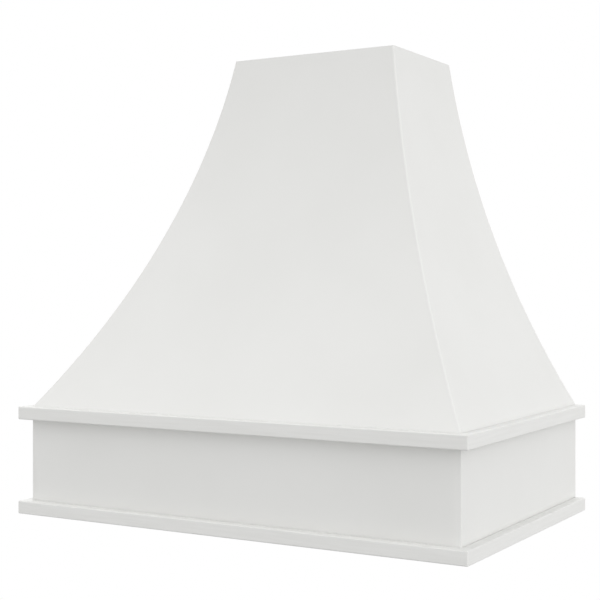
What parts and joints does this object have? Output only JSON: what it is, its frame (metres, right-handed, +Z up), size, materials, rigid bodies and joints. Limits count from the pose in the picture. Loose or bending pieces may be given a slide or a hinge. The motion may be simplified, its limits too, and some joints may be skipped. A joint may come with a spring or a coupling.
{
  "type": "wooden range hood cover",
  "caption": "Flared wooden range hood cover: curved front and sides over a straight apron with square trim bands, open at the wall and below, framed inside with curved ribs.",
  "frame": {"origin": "on the wall, at the middle of the hood's lower back edge", "axes": "+X to the right as seen from the room, +Y into the wall, +Z up; the front faces -Y"},
  "size_m": [0.9544, 0.597, 0.9144],
  "materials": {
    "painted_wood": "satin white paint",
    "plywood": "raw birch plywood",
    "solid_wood": "raw planed softwood",
    "screw_steel": "yellow zinc"
  },
  "bodies": {
    "root": {"apron_front": "painted_wood", "apron_left": "painted_wood", "apron_right": "painted_wood", "corner_block_left": "solid_wood", "corner_block_right": "solid_wood", "front_jack_rib_left": "plywood", "front_jack_rib_right": "plywood", "front_rib_left": "plywood", "front_rib_right": "plywood", "hip_rib_left": "plywood", "hip_rib_right": "plywood", "ledge_batten_back": "solid_wood", "ledge_batten_front": "solid_wood", "ledge_batten_left": "solid_wood", "ledge_batten_right": "solid_wood", "ledge_rail_back": "plywood", "ledge_rail_front": "plywood", "ledge_rail_left": "plywood", "ledge_rail_right": "plywood", "ledge_screws": "screw_steel", "shelf_rail_back": "plywood", "shelf_rail_front": "plywood", "shelf_rail_left": "plywood", "shelf_rail_right": "plywood", "side_jack_rib_long_left": "plywood", "side_jack_rib_long_right": "plywood", "side_jack_rib_short_left": "plywood", "side_jack_rib_short_right": "plywood", "side_rib_left": "plywood", "side_rib_right": "plywood", "skin_front": "painted_wood", "skin_left": "painted_wood", "skin_right": "painted_wood", "top_rail_back": "solid_wood", "top_rail_front": "solid_wood", "top_rail_left": "solid_wood", "top_rail_right": "solid_wood", "trim_lower_front": "painted_wood", "trim_lower_left": "painted_wood", "trim_lower_right": "painted_wood", "trim_upper_front": "painted_wood", "trim_upper_left": "painted_wood", "trim_upper_right": "painted_wood", "wall_rail_lower": "plywood", "wall_rail_upper": "plywood", "wall_rib_left": "plywood", "wall_rib_right": "plywood"}
  },
  "joints": []
}
